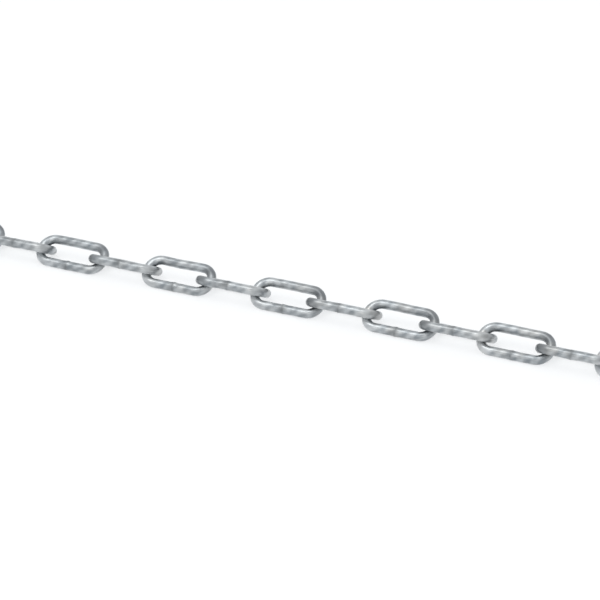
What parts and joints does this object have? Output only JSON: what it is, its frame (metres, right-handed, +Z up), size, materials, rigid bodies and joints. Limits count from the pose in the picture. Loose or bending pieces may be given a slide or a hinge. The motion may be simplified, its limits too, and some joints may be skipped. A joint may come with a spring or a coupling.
{
  "type": "steel chain",
  "caption": "Length of long-link welded steel chain lying straight, with rounded oblong links that lean opposite ways in turn and swing on one another.",
  "frame": {"origin": "Middle of the chain on the floor: centre of the bounding box, at its lowest height.", "axes": "+X runs along the chain, +Y is level across it, away from the welds, +Z is up."},
  "size_m": [0.994, 0.0286, 0.0199],
  "materials": {
    "zinc_plated_steel": "satin bluish-grey zinc plating on steel wire"
  },
  "bodies": {
    "link_01": {"link_01": "zinc_plated_steel"},
    "link_02": {"link_02": "zinc_plated_steel"},
    "link_03": {"link_03": "zinc_plated_steel"},
    "link_04": {"link_04": "zinc_plated_steel"},
    "link_05": {"link_05": "zinc_plated_steel"},
    "link_06": {"link_06": "zinc_plated_steel"},
    "link_07": {"link_07": "zinc_plated_steel"},
    "link_08": {"link_08": "zinc_plated_steel"},
    "link_09": {"link_09": "zinc_plated_steel"},
    "link_10": {"link_10": "zinc_plated_steel"},
    "link_11": {"link_11": "zinc_plated_steel"},
    "link_12": {"link_12": "zinc_plated_steel"},
    "link_13": {"link_13": "zinc_plated_steel"},
    "link_14": {"link_14": "zinc_plated_steel"},
    "link_15": {"link_15": "zinc_plated_steel"},
    "link_16": {"link_16": "zinc_plated_steel"},
    "link_17": {"link_17": "zinc_plated_steel"},
    "link_18": {"link_18": "zinc_plated_steel"},
    "link_19": {"link_19": "zinc_plated_steel"}
  },
  "joints": [
    {"name": "swing_01", "type": "hinge", "parent": "link_02", "child": "link_01", "pos_m": [-0.4449, 0, 0.00995], "axis": [0, 0.5, -0.866], "range_deg": [-75, 75]},
    {"name": "swing_02", "type": "hinge", "parent": "link_03", "child": "link_02", "pos_m": [-0.39345, 0, 0.00995], "axis": [0, 0.5, 0.866], "range_deg": [-75, 75]},
    {"name": "swing_03", "type": "hinge", "parent": "link_04", "child": "link_03", "pos_m": [-0.342, 0, 0.00995], "axis": [0, -0.5, 0.866], "range_deg": [-75, 75]},
    {"name": "swing_04", "type": "hinge", "parent": "link_05", "child": "link_04", "pos_m": [-0.29055, 0, 0.00995], "axis": [0, -0.5, -0.866], "range_deg": [-75, 75]},
    {"name": "swing_05", "type": "hinge", "parent": "link_06", "child": "link_05", "pos_m": [-0.2391, 0, 0.00995], "axis": [0, 0.5, -0.866], "range_deg": [-75, 75]},
    {"name": "swing_06", "type": "hinge", "parent": "link_07", "child": "link_06", "pos_m": [-0.18765, 0, 0.00995], "axis": [0, 0.5, 0.866], "range_deg": [-75, 75]},
    {"name": "swing_07", "type": "hinge", "parent": "link_08", "child": "link_07", "pos_m": [-0.1362, 0, 0.00995], "axis": [0, -0.5, 0.866], "range_deg": [-75, 75]},
    {"name": "swing_08", "type": "hinge", "parent": "link_09", "child": "link_08", "pos_m": [-0.08475, 0, 0.00995], "axis": [0, -0.5, -0.866], "range_deg": [-75, 75]},
    {"name": "swing_09", "type": "hinge", "parent": "link_10", "child": "link_09", "pos_m": [-0.0333, 0, 0.00995], "axis": [0, 0.5, -0.866], "range_deg": [-75, 75]},
    {"name": "swing_11", "type": "hinge", "parent": "link_10", "child": "link_11", "pos_m": [0.0333, 0, 0.00995], "axis": [0, -0.5, 0.866], "range_deg": [-75, 75]},
    {"name": "swing_12", "type": "hinge", "parent": "link_11", "child": "link_12", "pos_m": [0.08475, 0, 0.00995], "axis": [0, 0.5, 0.866], "range_deg": [-75, 75]},
    {"name": "swing_13", "type": "hinge", "parent": "link_12", "child": "link_13", "pos_m": [0.1362, 0, 0.00995], "axis": [0, 0.5, -0.866], "range_deg": [-75, 75]},
    {"name": "swing_14", "type": "hinge", "parent": "link_13", "child": "link_14", "pos_m": [0.18765, 0, 0.00995], "axis": [0, -0.5, -0.866], "range_deg": [-75, 75]},
    {"name": "swing_15", "type": "hinge", "parent": "link_14", "child": "link_15", "pos_m": [0.2391, 0, 0.00995], "axis": [0, -0.5, 0.866], "range_deg": [-75, 75]},
    {"name": "swing_16", "type": "hinge", "parent": "link_15", "child": "link_16", "pos_m": [0.29055, 0, 0.00995], "axis": [0, 0.5, 0.866], "range_deg": [-75, 75]},
    {"name": "swing_17", "type": "hinge", "parent": "link_16", "child": "link_17", "pos_m": [0.342, 0, 0.00995], "axis": [0, 0.5, -0.866], "range_deg": [-75, 75]},
    {"name": "swing_18", "type": "hinge", "parent": "link_17", "child": "link_18", "pos_m": [0.39345, 0, 0.00995], "axis": [0, -0.5, -0.866], "range_deg": [-75, 75]},
    {"name": "swing_19", "type": "hinge", "parent": "link_18", "child": "link_19", "pos_m": [0.4449, 0, 0.00995], "axis": [0, -0.5, 0.866], "range_deg": [-75, 75]}
  ]
}
